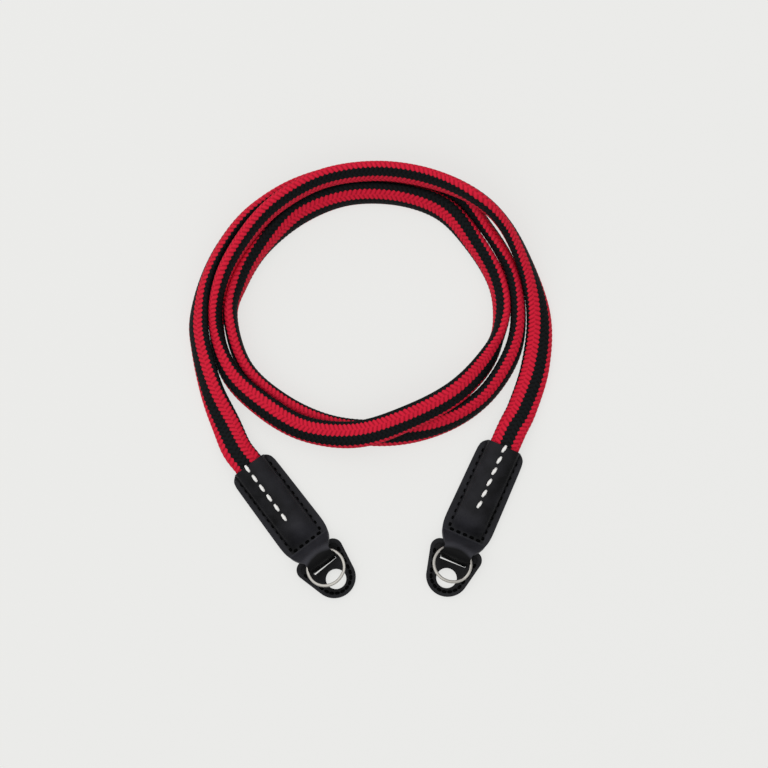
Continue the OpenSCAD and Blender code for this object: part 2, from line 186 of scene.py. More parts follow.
def braidedPolyester():
    material, tree = newMaterial("braidedPolyester")
    uv = addNode(tree, "ShaderNodeUVMap", {}, uv_map="braid")
    split = addNode(tree, "ShaderNodeSeparateXYZ", {0: uv}).node
    column, stitch = split.outputs[0], split.outputs[1]
    near = addNode(tree, "ShaderNodeMath", {0: column}, operation="ROUND")
    nearOdd = addNode(tree, "ShaderNodeMath", {0: near, 1: 2.0}, operation="FLOORED_MODULO")
    side = addNode(tree, "ShaderNodeMath", {0: nearOdd, 1: 2.0, 2: -1.0}, operation="MULTIPLY_ADD")
    toothAt = addNode(tree, "ShaderNodeMath", {0: side, 1: braid["slope"] / 2, 2: stitch},
        operation="MULTIPLY_ADD")
    wave = addNode(tree, "ShaderNodeMath", {0: toothAt, 1: 0.5}, operation="PINGPONG")
    zigzag = addNode(tree, "ShaderNodeMath", {0: wave, 1: 4 * braid["tooth"], 2: -braid["tooth"]},
        operation="MULTIPLY_ADD")
    shift = addNode(tree, "ShaderNodeMath", {0: zigzag, 1: side}, operation="MULTIPLY")
    crossed = addNode(tree, "ShaderNodeMath", {0: column, 1: shift}, operation="SUBTRACT")
    index = addNode(tree, "ShaderNodeMath", {0: crossed}, operation="FLOOR")
    odd = addNode(tree, "ShaderNodeMath", {0: index, 1: 2.0}, operation="FLOORED_MODULO")
    slant = addNode(tree, "ShaderNodeMath", {0: odd, 1: -2 * braid["slope"], 2: braid["slope"]},
        operation="MULTIPLY_ADD")
    across = addNode(tree, "ShaderNodeMath", {0: column, 1: index}, operation="SUBTRACT")
    middle = addNode(tree, "ShaderNodeMath", {0: across, 1: 0.5}, operation="SUBTRACT")
    start = addNode(tree, "ShaderNodeMath", {0: odd, 1: 0.5, 2: stitch}, operation="MULTIPLY_ADD")
    phase = addNode(tree, "ShaderNodeMath", {0: middle, 1: slant, 2: start}, operation="MULTIPLY_ADD")
    rise = addNode(tree, "ShaderNodeMath", {0: phase, 1: 0.5}, operation="PINGPONG")
    edge = addNode(tree, "ShaderNodeMath", {0: crossed, 1: 0.5}, operation="PINGPONG")
    strand = addNode(tree, "ShaderNodeMapRange", {0: rise, 1: 0.0, 2: braid["strandEdge"], 3: 0.0, 4: 1.0},
        interpolation_type="SMOOTHSTEP")
    border = addNode(tree, "ShaderNodeMapRange", {0: edge, 1: 0.0, 2: braid["borderEdge"],
        3: braid["borderHeight"], 4: 1.0}, interpolation_type="SMOOTHSTEP")
    height = addNode(tree, "ShaderNodeMath", {0: strand, 1: border}, operation="MULTIPLY")
    # The filaments of a strand are finer than this: drawn as coarse as they need to show
    ply = addNode(tree, "ShaderNodeMath", {0: phase, 1: float(braid["filaments"])}, operation="MULTIPLY")
    filament = addNode(tree, "ShaderNodeMath", {0: ply, 1: 0.5}, operation="PINGPONG")
    relief = addNode(tree, "ShaderNodeMath", {0: filament, 1: braid["filamentHeight"], 2: height},
        operation="MULTIPLY_ADD")
    # Bands of so many strands, red and black in turn
    place = addNode(tree, "ShaderNodeMath", {0: index, 1: 2.0 * braid["band"]}, operation="FLOORED_MODULO")
    isBlack = addNode(tree, "ShaderNodeMath", {0: place, 1: braid["band"] - 0.5}, operation="GREATER_THAN")
    fuzz = addNode(tree, "ShaderNodeTexNoise", {"Vector": addNode(tree, "ShaderNodeTexCoord", {}, "Object"),
        "Scale": 1 / braid["patch"], "Detail": 3.0})
    worn = addNode(tree, "ShaderNodeMath", {0: fuzz, 1: braid["worn"], 2: -braid["worn"] / 2},
        operation="MULTIPLY_ADD")
    # Painted shade in the dips and painted highlight on the strands' backs, shifted by the worn patches
    shade = addNode(tree, "ShaderNodeMath", {0: height, 1: worn}, operation="ADD", use_clamp=True)
    red, black = [
        addNode(tree, "ShaderNodeMix", {0: shade, 6: linear(dark), 7: linear(light)}, 2, data_type="RGBA")
        for dark, light in (braid["red"], braid["black"])]
    colour = addNode(tree, "ShaderNodeMix", {0: isBlack, 6: red, 7: black}, 2, data_type="RGBA")
    bump = addNode(tree, "ShaderNodeBump", {"Height": relief, "Distance": braid["depth"],
        "Strength": braid["strength"]})
    shader = addNode(tree, "ShaderNodeBsdfPrincipled", {
        "Base Color": colour, "Normal": bump, "Roughness": braid["roughness"], "IOR": 1.5,
        "Specular IOR Level": braid["specular"],
    })
    surfaceOutput(tree, shader)
    return material


# Drum-dyed smooth cowhide: a closed grain, drawn as coarse as it needs to show, a satin top coat and faint
# clouds in the dye, and the painted light and shade that each leather piece carries. The guards' is duller
# than the ends'
hides = {
    "satinCowhide": {"dark": "#040405", "light": "#404046", "mottle": 0.3, "tone": 0.09,
        "pebble": 0.0007, "pore": 0.00025, "depth": 0.00006, "roughness": 0.5},
    "grainedCowhide": {"dark": "#040404", "light": "#303033", "mottle": 0.6, "tone": 0.04,
        "pebble": 0.0006, "pore": 0.0002, "depth": 0.0001, "roughness": 0.6},
}
hideFinish = {"cloud": 0.00625, "cloudFrom": 0.45, "cloudTo": 1.05, "poreShare": 0.5, "poreHeight": 0.6,
    "rubbedAndPaintedLight": 0.5, "glossier": 0.06, "duller": 0.08, "strength": 0.5, "specular": 0.12}


def smoothCowhide(name):
    hide = hides[name]
    material, tree = newMaterial(name)
    place = addNode(tree, "ShaderNodeTexCoord", {}, "Object")
    clouds = addNode(tree, "ShaderNodeTexNoise", {"Vector": place, "Scale": 1 / hideFinish["cloud"],
        "Detail": 5.0})
    cells = addNode(tree, "ShaderNodeTexVoronoi", {"Vector": place, "Scale": 1 / hide["pebble"]},
        feature="SMOOTH_F1")
    pores = addNode(tree, "ShaderNodeTexNoise", {"Vector": place, "Scale": 1 / hide["pore"], "Detail": 3.0})
    mottle = addNode(tree, "ShaderNodeMath", {0: pores, 1: hideFinish["poreShare"], 2: clouds},
        operation="MULTIPLY_ADD")
    share = addNode(tree, "ShaderNodeMapRange", {0: mottle, 1: hideFinish["cloudFrom"],
        2: hideFinish["cloudTo"], 3: 0.0, 4: 1.0})
    # Painted light and shade, carried by each leather piece as a point attribute
    paintedLightAndShade = addNode(tree, "ShaderNodeAttribute", {}, "Fac", attribute_name="paintedLightAndShade")
    base = addNode(tree, "ShaderNodeMath", {0: share, 1: hide["mottle"], 2: hide["tone"]},
        operation="MULTIPLY_ADD")
    shade = addNode(tree, "ShaderNodeMath", {0: paintedLightAndShade, 1: hideFinish["rubbedAndPaintedLight"], 2: base},
        operation="MULTIPLY_ADD", use_clamp=True)
    colour = addNode(tree, "ShaderNodeMix", {0: shade, 6: linear(hide["dark"]), 7: linear(hide["light"])}, 2,
        data_type="RGBA")
    gloss = addNode(tree, "ShaderNodeMapRange", {0: share, 1: 0.0, 2: 1.0,
        3: hide["roughness"] - hideFinish["glossier"], 4: hide["roughness"] + hideFinish["duller"]})
    relief = addNode(tree, "ShaderNodeMath", {0: pores, 1: hideFinish["poreHeight"], 2: cells},
        operation="MULTIPLY_ADD")
    bump = addNode(tree, "ShaderNodeBump", {"Height": relief, "Distance": hide["depth"],
        "Strength": hideFinish["strength"]})
    shader = addNode(tree, "ShaderNodeBsdfPrincipled", {
        "Base Color": colour, "Normal": bump, "Roughness": gloss, "IOR": 1.5,
        "Specular IOR Level": hideFinish["specular"],
    })
    surfaceOutput(tree, shader)
    return material


# Cut leather edge, dyed black: duller than the grain side, with a nap of fibres, drawn coarse at 0.4 mm apart
cutEdge = {"dark": "#161617", "light": "#2C2C2D", "fibre": 1 / 2600, "depth": 0.00008, "strength": 0.5,
    "roughness": 0.7, "specular": 0.2}


def dyedEdge():
    material, tree = newMaterial("dyedEdge")
    place = addNode(tree, "ShaderNodeTexCoord", {}, "Object")
    fibres = addNode(tree, "ShaderNodeTexNoise", {"Vector": place, "Scale": 1 / cutEdge["fibre"],
        "Detail": 4.0})
    colour = addNode(tree, "ShaderNodeMix", {0: fibres, 6: linear(cutEdge["dark"]),
        7: linear(cutEdge["light"])}, 2, data_type="RGBA")
    bump = addNode(tree, "ShaderNodeBump", {"Height": fibres, "Distance": cutEdge["depth"],
        "Strength": cutEdge["strength"]})
    shader = addNode(tree, "ShaderNodeBsdfPrincipled", {
        "Base Color": colour, "Normal": bump, "Roughness": cutEdge["roughness"], "IOR": 1.5,
        "Specular IOR Level": cutEdge["specular"],
    })
    surfaceOutput(tree, shader)
    return material


# Sewing thread, bonded nylon in black and waxed linen in white: its twisted plies show as ribs, drawn as
# coarse as they need to show
threads = {
    "bondedNylonThread": {"dark": "#010101", "light": "#040404", "ply": 0.0003, "specular": 0.03},
    "waxedLinenThread": {"dark": "#E4E3DE", "light": "#FCFCFA", "ply": 0.0005, "specular": 0.3},
}
threadFinish = {"depth": 0.0001, "strength": 0.5, "roughness": 0.55}


def twistedThread(name):
    thread = threads[name]
    material, tree = newMaterial(name)
    place = addNode(tree, "ShaderNodeTexCoord", {}, "Object")
    plies = addNode(tree, "ShaderNodeTexNoise", {"Vector": place, "Scale": 1 / thread["ply"], "Detail": 2.0})
    colour = addNode(tree, "ShaderNodeMix", {0: plies, 6: linear(thread["dark"]),
        7: linear(thread["light"])}, 2, data_type="RGBA")
    bump = addNode(tree, "ShaderNodeBump", {"Height": plies, "Distance": threadFinish["depth"],
        "Strength": threadFinish["strength"]})
    shader = addNode(tree, "ShaderNodeBsdfPrincipled", {
        "Base Color": colour, "Normal": bump, "Roughness": threadFinish["roughness"], "IOR": 1.5,
        "Specular IOR Level": thread["specular"],
    })
    surfaceOutput(tree, shader)
    return material


# Nickel plate on spring wire: a warm bright metal with faint rubbing marks about 1.1 mm across
plate = {"colour": "#B0ADA7", "mark": 1 / 900, "markFrom": 0.3, "markTo": 0.7, "polished": 0.2,
    "rubbedAndPaintedLight": 0.32}


def nickelPlate():
    material, tree = newMaterial("nickelPlate")
    place = addNode(tree, "ShaderNodeTexCoord", {}, "Object")
    rubMarksAndPaintedLight = addNode(tree, "ShaderNodeTexNoise", {"Vector": place, "Scale": 1 / plate["mark"], "Detail": 4.0})
    gloss = addNode(tree, "ShaderNodeMapRange", {0: rubMarksAndPaintedLight, 1: plate["markFrom"], 2: plate["markTo"],
        3: plate["polished"], 4: plate["rubbedAndPaintedLight"]})
    shader = addNode(tree, "ShaderNodeBsdfPrincipled", {
        "Base Color": linear(plate["colour"]), "Metallic": 1.0, "Roughness": gloss,
    })
    surfaceOutput(tree, shader)
    return material


# The braided cord: an oval tube whose yarns are raised in rows of slanting stitches
cord = {
    "width": 0.0113, "thickness": 0.0055,
    "grip": 0.033, "lift": 0.0012, "straightOut": 0.008, "gripSteps": 3,
    "columns": 12, "sides": 36, "stitch": 0.0019, "ringsPerStitch": 4, "relief": 0.00016,
    "exit": 0.0036, "fineSteps": 60, "ovalSteps": 2000,
}
# The free route, clockwise from the left end: x, y, gap below the cord, and roll of its oval in degrees
cordRoute = [
    (-0.0605, 0.037, 0.0002, 14), (-0.0665, 0.0515, 0, 40), (-0.0705, 0.0675, 0, 52),
    (-0.0716, 0.0795, 0, 58), (-0.0686, 0.0945, 0, 78), (-0.0615, 0.109, 0, 90),
    (-0.0502, 0.1222, 0, 100), (-0.033, 0.1315, 0, 132), (-0.012, 0.137, 0, 140), (0.01, 0.137, 0, 138),
    (0.0295, 0.1305, 0, 130), (0.0435, 0.1155, 0, 92), (0.053, 0.0985, 0, 90), (0.0557, 0.0795, 0, 78),
    (0.0521, 0.0637, 0, 62), (0.0412, 0.0483, 0, 58), (0.025, 0.0384, 0, 46), (0.004, 0.0344, 0, 24),
    (-0.0182, 0.0366, 0, 38), (-0.0372, 0.0457, 0, 58), (-0.0528, 0.0603, 0, 76),
    (-0.0589, 0.0795, 0, 90), (-0.056, 0.0935, 0, 116), (-0.047, 0.1085, 0, 122),
    (-0.032, 0.122, 0, 140), (-0.013, 0.1295, 0, 136), (0.008, 0.1295, 0, 133), (0.026, 0.1235, 0, 140),
    (0.0385, 0.11, 0, 130), (0.0473, 0.0944, 0, 121), (0.0489, 0.0795, 0, 109),
    (0.0435, 0.0645, 0.0015, 56), (0.031, 0.051, 0.0083, 38), (0.013, 0.041, 0.009, 30),
    (-0.008, 0.034, 0.007, 18), (-0.029, 0.036, 0.005, 30), (-0.046, 0.0455, 0.005, 33),
    (-0.0595, 0.0589, 0.0025, 54), (-0.0647, 0.0773, 0, 91), (-0.0623, 0.0955, 0.0046, 101),
    (-0.0528, 0.1124, 0.0073, 112), (-0.0397, 0.126, 0.009, 120), (-0.0215, 0.1356, 0.009, 122),
    (0, 0.1385, 0.0085, 124), (0.0207, 0.1354, 0.01, 122), (0.0385, 0.1277, 0.0124, 106),
    (0.0507, 0.1163, 0.0062, 84), (0.0597, 0.0979, 0.0012, 62), (0.064, 0.0795, 0, 34),
    (0.0625, 0.0605, 0, 16), (0.0575, 0.0445, 0.0002, 8),
]
# How far the bands have crept round the oval, in bands, at some of the route's points
bandCreep = [
    (0, 0.2), (6, 0.25), (7, 0.4), (8, 0.4), (9, 0.3), (10, 0.05), (11, 0), (12, -0.4), (13, -0.85),
    (15, -0.75), (16, -0.3), (17, 0.05), (18, 0.12), (20, 0.3), (22, 0.25), (24, 0), (25, -0.2),
    (27, -0.45), (28, -0.1), (29, 0.35), (31, 0.35), (32, 0.05), (33, -0.25), (35, -0.4), (36, 0.15),
    (37, 0.3), (40, 0.4), (41, 0.35), (42, 0.2), (43, -0.05), (44, -0.3), (45, -0.45), (46, -0.5),
    (48, -0.4), (50, -0.5), (51, 0.05), (52, 0.2), (54, 0.25), (56, 0.05), (60, 0),
]
# Width and thickness of the oval at some of the route's points: it flattens where it enters a leather end,
# and its cut ends inside are pressed small
cordSection = [
    (0, 0.0085, 0.0042), (1, 0.0112, 0.0054), (2.6, 0.0113, 0.0055), (3, 0.0122, 0.0054),
    (5.5, 0.0123, 0.0054), (8, 0.0117, 0.0058), (16, 0.0114, 0.0058), (17, 0.0114, 0.0061),
    (19, 0.0114, 0.0061), (21, 0.0114, 0.0058), (42, 0.0114, 0.0058), (43, 0.0114, 0.0063),
    (44, 0.0114, 0.0061), (46, 0.0114, 0.0057), (52, 0.0114, 0.0058), (53, 0.0117, 0.0057),
    (54, 0.0121, 0.0054), (57, 0.0122, 0.0054), (57.4, 0.0113, 0.0055), (59, 0.0112, 0.0054),
    (60, 0.0085, 0.0042),
]


def tabStretch(side, distances):
    x, y = ends[side]["mouth"]
    turn = math.radians(ends[side]["turn"])
    return [(x + d * math.cos(turn), y + d * math.sin(turn), cord["lift"], 0) for d in distances]


def cordSections():
    steps = cord["gripSteps"]
    inside = [cord["grip"] * i / steps for i in range(steps, -1, -1)]
    route = np.array(tabStretch("left", inside + [-cord["straightOut"]]) + cordRoute
        + tabStretch("right", [-cord["straightOut"]] + inside[::-1]))
    last = len(route) - 1
    padded = np.vstack([2 * route[0] - route[1], route, 2 * route[-1] - route[-2]])

    def sectionAt(u):
        marks, widths, thicknesses = zip(*cordSection)
        return np.interp(u, marks, widths), np.interp(u, marks, thicknesses)

    def sample(u):
        i = np.clip(np.floor(u).astype(int), 0, last - 1)
        t = (u - i)[:, None]
        a, b, c, d = padded[i], padded[i + 1], padded[i + 2], padded[i + 3]
        p = 0.5 * (2 * b + (c - a) * t + (2 * a - 5 * b + 4 * c - d) * t ** 2
            + (3 * b - a - 3 * c + d) * t ** 3)
        roll = np.radians(p[:, 3])
        width, thickness = sectionAt(u)
        lying = np.hypot(width / 2 * np.sin(roll), thickness / 2 * np.cos(roll))
        p[:, 2] = np.maximum(p[:, 2], 0) + lying
        return p[:, :3], roll

    fine = np.linspace(0, last, last * cord["fineSteps"] + 1)
    middles, roll = sample(fine)
    run = np.concatenate([[0], np.cumsum(np.linalg.norm(np.diff(middles, axis=0), axis=1))])
    count = int(run[-1] / cord["stitch"] * cord["ringsPerStitch"])
    at = np.linspace(0, run[-1], count + 1)
    u = np.interp(at, run, fine)
    middles, roll = sample(u)
    heading = np.gradient(middles, axis=0)
    heading /= np.linalg.norm(heading, axis=1)[:, None]
    across = np.stack([-heading[:, 1], heading[:, 0], np.zeros(len(u))], axis=1)
    across /= np.linalg.norm(across, axis=1)[:, None]
    upward = np.cross(heading, across)
    cosRoll, sinRoll = np.cos(roll)[:, None], np.sin(roll)[:, None]
    wide = across * cosRoll - upward * sinRoll
    thin = upward * cosRoll + across * sinRoll
    creep = np.interp(u, *zip(*bandCreep))
    return middles, wide, thin, at, creep, sectionAt(u)


def fromWhole(value):
    return np.abs((value + 0.5) % 1 - 0.5)


# How high the braid stands, from 0 where one strand dips under the next to 1 on its back
def braidHeight(column, stitch):
    side = 2 * (np.round(column) % 2) - 1
    toothAt = stitch + side * braid["slope"] / 2
    zigzag = braid["tooth"] * (4 * fromWhole(toothAt) - 1)
    crossed = column - side * zigzag
    index = np.floor(crossed)
    odd = index % 2
    phase = stitch + braid["slope"] * (1 - 2 * odd) * (column - index - 0.5) + 0.5 * odd
    rise = fromWhole(phase) * 2
    edge = fromWhole(crossed) * 2
    return (1 - (1 - rise) ** 2) * np.minimum(1, 0.5 + edge)


def buildCord(material):
    middles, wide, thin, at, creep, (width, thickness) = cordSections()
    sides, halfW, halfT = cord["sides"], cord["width"] / 2, cord["thickness"] / 2
    turn = np.linspace(0, 2 * math.pi, cord["ovalSteps"] + 1)
    steps = np.hypot(np.diff(halfW * np.cos(turn)), np.diff(halfT * np.sin(turn)))
    arc = np.concatenate([[0], np.cumsum(steps)])
    angle = np.interp(np.arange(sides) / sides * arc[-1], arc, turn)
    outX, outY = np.cos(angle) / halfW, np.sin(angle) / halfT
    outX, outY = outX / np.hypot(outX, outY), outY / np.hypot(outX, outY)
    perSide = cord["columns"] / sides
    column = np.arange(sides + 1) * perSide + creep[:, None] * braid["band"]
    stitch = at / cord["stitch"]
    sunk = cord["relief"] * (1 - braidHeight(column[:, :-1], stitch[:, None]))
    points = (middles[:, None, :]
        + wide[:, None, :] * (width[:, None] / 2 * np.cos(angle) - sunk * outX)[:, :, None]
        + thin[:, None, :] * (thickness[:, None] / 2 * np.sin(angle) - sunk * outY)[:, :, None])
    rings = len(middles)
    ring, k = np.meshgrid(np.arange(rings - 1), np.arange(sides), indexing="ij")
    ring, k = ring.ravel(), k.ravel()
    after = (k + 1) % sides
    faces = np.stack([ring * sides + k, (ring + 1) * sides + k, (ring + 1) * sides + after,
        ring * sides + after], 1)
    caps = [list(range(sides)), list(range(rings * sides - 1, (rings - 1) * sides - 1, -1))]
    piece = meshPiece("braided_cord", points.reshape(-1, 3).tolist(), faces.tolist() + caps)
    uv = np.stack([
        column[ring, k], stitch[ring], column[ring + 1, k], stitch[ring + 1],
        column[ring + 1, k + 1], stitch[ring + 1], column[ring, k + 1], stitch[ring],
    ], 1).ravel()
    layer = piece.data.uv_layers.new(name="braid")
    layer.data.foreach_set("uv", np.concatenate([uv, np.zeros(len(layer.data) * 2 - len(uv))]))
    pointOutwards(piece)
    finishPiece(piece, "braided_cord", "strap", [material], ["cord_sheath", "cord_core"])


# Where a joint of the frame lies, measured from the mouth of its leather end
def jointPlace(name, side):
    joint = next(j for j in frame["record"]["behaviour"]["joints"] if j["name"] == name)
    return endFrame(side).inverted() @ Vector(joint["pos_m"])


ringHinge = jointPlace("left_ring_swing", "left")
guardHinge = jointPlace("left_guard_tilt", "left")

# A leather end is one strip: its top layer rises over the cord in a dome, goes round the ring in a loop, down
# through the guard's slit and back below
tab = {
    "leather": 0.0011, "slip": 0.00005,     # thickness of the strip, and gap between its two layers
    "mouthHalf": 0.0096, "flare": 0.0006, "corner": 0.0044, "cornerReach": 0.012, "bevel": 0.00022,
    "neckHalf": 0.0059, "neckBack": 0.001, "tongueStep": 0.0006, "tongueBack": 0.0006,
    "cordEnd": 0.033, "slopeStart": 0.0302, "slopeEnd": 0.0385,     # the dome comes down past the cord
    "domeTop": 0.0077, "archHalf": 0.0076, "footFrom": 0.0059, "footTo": 0.0069, "domePast": 0.003,
    "seamHalf": 0.00719, "seamFrom": 0.0034, "crossRow": 0.0387, "pitch": 0.0029,     # the black seam's holes
    "groove": 0.00018, "grooveWidth": 0.00045, "groovePast": 0.002,
    "backFoot": 0.0401, "backAngle": 150, "loopInside": 0.00239,     # the loop round the ring
    "tongueOut": 0.00145, "turnRadius": 0.75,     # the turn below the slit, its radius in thicknesses
    "loopSteps": 24, "turnSteps": 6, "smoothings": 3, "alongStep": 0.00045, "acrossCount": 60,
    "uneven": 0.00008, "unevenPerMetre": 160, "unevenSeed": {"left": 3, "right": 9},
}
guard = {
    "layer": 0.00085, "slip": 0.00005,     # thickness of one layer, and gap between the two
    "length": 0.006, "endRadius": 0.0086, "width": 0.0216, "shoulderRadius": 0.0039, "back": 0.0071,
    "yaw": 2.5, "holeRadius": 0.0041, "holeAt": 0.0072,
    "slitFront": 0.00025, "slitBack": 0.0011, "slitHalf": 0.00545, "tongueGap": 0.00045,
    "backRoom": 0.0007, "pared": 0.7, "paredFrom": 0.00015,     # the back layer's wider slit and its paring
    "seam": 0.0019, "pitch": 0.0027, "grooveWidth": 0.00042, "grooveDepth": 0.00012,
    "bevel": 0.00018, "facets": 96, "weld": 0.00001, "cutter": 0.01, "knife": 0.04,
}
guard["thickness"] = 2 * guard["layer"] + guard["slip"]
guard["droop"] = math.asin((guardHinge.z - guard["thickness"] / 2) / (guard["length"] + guard["endRadius"]))
guard["slitWidth"] = guard["tongueGap"] + tab["leather"] + guard["slitFront"]


# Half the strip's width: it flares from the mouth, narrows to a neck at the ring, and then to a tongue
def tabHalf(x):
    full = tab["mouthHalf"] + tab["flare"]
    neckFrom, neckTo = ringHinge.x - tab["neckBack"], ringHinge.x + tab["loopInside"]
    tongueAt = guardHinge.x - tab["tongueBack"]
    if x < tab["cordEnd"]:
        return tab["mouthHalf"] + tab["flare"] * x / tab["cordEnd"]
    if x < neckFrom:
        narrowed = ((x - tab["cordEnd"]) / (neckFrom - tab["cordEnd"])) ** 3
        return tab["neckHalf"] + (full - tab["neckHalf"]) * (1 - narrowed)
    return tab["neckHalf"] - tab["tongueStep"] * min(1, max(0, (x - neckTo) / (tongueAt - neckTo)))


# The strip's mid line from the mouth, over the ring and back, in steps of one length
def strapLine():
    topMid = tab["leather"] * 1.5 + tab["slip"]
    loopMid = tab["loopInside"] + tab["leather"] / 2
    tongueX = ringHinge.x + loopMid + tab["tongueOut"]
    tongueTop = guardHinge.z + guard["thickness"] / 2 + guard["tongueGap"]
    toTongue = Vector((tongueX - ringHinge.x, tongueTop - ringHinge.z))
    leave = math.degrees(math.atan2(toTongue.y, toTongue.x) + math.acos(loopMid / toTongue.length))
    corner = tab["turnRadius"] * tab["leather"]
    line = [(0, topMid), (tab["backFoot"], topMid)]
    for i in range(tab["loopSteps"] + 1):
        a = math.radians(tab["backAngle"] + (leave - tab["backAngle"]) * i / tab["loopSteps"])
        line.append((ringHinge.x + loopMid * math.cos(a), ringHinge.z + loopMid * math.sin(a)))
    for i in range(tab["turnSteps"] + 1):
        a = math.radians(-90 * i / tab["turnSteps"])
        line.append((tongueX - corner + corner * math.cos(a),
            tab["leather"] / 2 + corner + corner * math.sin(a)))
    line.append((0, tab["leather"] / 2))
    line = np.array(line)
    run = np.concatenate([[0], np.cumsum(np.linalg.norm(np.diff(line, axis=0), axis=1))])
    count = int(run[-1] / tab["alongStep"])
    at = np.linspace(0, run[-1], count + 1)
    smooth = np.stack([np.interp(at, run, line[:, 0]), np.interp(at, run, line[:, 1])], axis=1)
    for _ in range(tab["smoothings"]):
        smooth[1:-1] = (smooth[:-2] + 2 * smooth[1:-1] + smooth[2:]) / 4
    turnIndex = int(np.argmax(smooth[:, 0]))
    return smooth, turnIndex


def sideStitches():
    count = round((tab["crossRow"] - tab["seamFrom"]) / tab["pitch"])
    return [tab["seamFrom"] + (tab["crossRow"] - tab["seamFrom"]) * i / count for i in range(count + 1)]


def crossStitches():
    count = round(2 * tab["seamHalf"] / tab["pitch"])
    return [tab["seamHalf"] * (1 - 2 * i / count) for i in range(count + 1)]


# The row of thick white stitches; the leather is pulled in round their holes
whiteRow = {
    "count": 6, "from": -0.0005, "pitch": 0.00485, "length": 0.0034, "width": 0.00125, "height": 0.0011,
    "dip": 0.0005, "lead": 0.0002, "proud": 0.0003, "deckFrom": 0.0012,
    "pull": 1.3, "pullWidth": 0.0007, "pullReach": 0.002,
}


def whiteHoles(side):
    row = ends[side]["whiteRow"]
    return [(whiteRow["from"] + whiteRow["pitch"] * i + e, row)
        for i in range(whiteRow["count"]) for e in (-whiteRow["lead"], whiteRow["length"] - whiteRow["lead"])]


def smoothStep(a, b, x):
    t = min(1, max(0, (x - a) / (b - a)))
    return t * t * (3 - 2 * t)


# A seam's groove is deepest under the middle of each stitch, and runs out at its holes
seamBeat = {"mean": 0.4, "swing": 0.6}


# Height of the top layer's mid surface over the flat leather
def domeRise(side, x, y):
    full = tab["domeTop"] - tab["leather"] / 2 - (tab["leather"] * 1.5 + tab["slip"])
    arch = math.sqrt(max(0, 1 - (y / tab["archHalf"]) ** 2))
    profile = arch * (1 - smoothStep(tab["footFrom"], tab["footTo"], abs(y)))
    rise = full * profile * (1 - smoothStep(tab["slopeStart"], tab["slopeEnd"], x))
    pull = 0
    if x < tab["crossRow"] + tab["groovePast"]:
        step = (tab["crossRow"] - tab["seamFrom"]) / (len(sideStitches()) - 1)
        beat = seamBeat["mean"] - seamBeat["swing"] * math.cos(2 * math.pi * (x - tab["seamFrom"]) / step)
        if x < tab["crossRow"]:
            pull += beat * math.exp(-((abs(y) - tab["seamHalf"]) / tab["grooveWidth"]) ** 2)
        if abs(y) < tab["seamHalf"]:
            count = len(crossStitches()) - 1
            turn = math.pi * (y / tab["seamHalf"] - 1) * count
            beat = seamBeat["mean"] - seamBeat["swing"] * math.cos(turn)
            pull += beat * math.exp(-((x - tab["crossRow"]) / tab["grooveWidth"]) ** 2)
    for hx, hy in whiteHoles(side):
        d = math.hypot(x - hx, y - hy)
        if d < whiteRow["pullReach"]:
            pull += whiteRow["pull"] * math.exp(-(d / whiteRow["pullWidth"]) ** 2)
    spot = Vector((x * tab["unevenPerMetre"], y * tab["unevenPerMetre"], tab["unevenSeed"][side]))
    uneven = tab["uneven"] * noise.noise(spot)
    return rise - tab["groove"] * pull + uneven


# Light and shade painted into the leather's colour: paler above 0, darker below 0. The fold is paler overall,
# with a painted highlight along its ridge and painted shadow in its throat; the margins outside the seams are
# painted lighter, one half of the dome carries painted shade, and the step at the cord's end has a painted
# highlight
tabPaintedLight = {
    "fold": 0.45, "foldFrom": 0.0006, "paintedRidgeHighlight": 0.4, "ridgeBack": 0.0007, "ridgeBow": 0.0013,
    "ridgeWidth": 0.0009, "paintedThroatShadow": 1.5, "throatFrom": 0.0004, "throatTo": 0.0022,
    "margin": 0.15, "marginFrom": 0.0003, "marginTo": 0.0009, "shaded": 0.3, "shadedOver": 0.006,
    "stepAt": 0.0335, "stepLong": 0.0032, "stepWide": 0.0045, "stepShaded": 0.7,
}


def tabPaintedLightAt(side, x, y, inFold):
    if inFold or x > tab["crossRow"] + tabPaintedLight["foldFrom"]:
        ridgeAt = ringHinge.x - tabPaintedLight["ridgeBack"] - tabPaintedLight["ridgeBow"] * (1 - (y / tab["neckHalf"]) ** 2)
        # Painted highlight along the fold's ridge, and painted shadow in its throat beyond it
        paintedRidgeHighlight = math.exp(-((x - ridgeAt) / tabPaintedLight["ridgeWidth"]) ** 2)
        paintedThroatShadow = smoothStep(ridgeAt + tabPaintedLight["throatFrom"], ridgeAt + tabPaintedLight["throatTo"], x)
        return tabPaintedLight["fold"] + tabPaintedLight["paintedRidgeHighlight"] * paintedRidgeHighlight - tabPaintedLight["paintedThroatShadow"] * paintedThroatShadow
    # Margins outside the seams painted lighter, one half of the dome in painted shade, and a painted
    # highlight on the step at the cord's end, weaker on the shaded half
    margin = smoothStep(tab["seamHalf"] + tabPaintedLight["marginFrom"], tab["seamHalf"] + tabPaintedLight["marginTo"], abs(y))
    shaded = smoothStep(-tabPaintedLight["shadedOver"], tabPaintedLight["shadedOver"], y if side == "right" else -y) * (1 - margin)
    step = math.exp(-((x - tabPaintedLight["stepAt"]) / tabPaintedLight["stepLong"]) ** 2 - (y / tabPaintedLight["stepWide"]) ** 2)
    return tabPaintedLight["margin"] * margin - tabPaintedLight["shaded"] * shaded + step * (1 - tabPaintedLight["stepShaded"] * shaded)


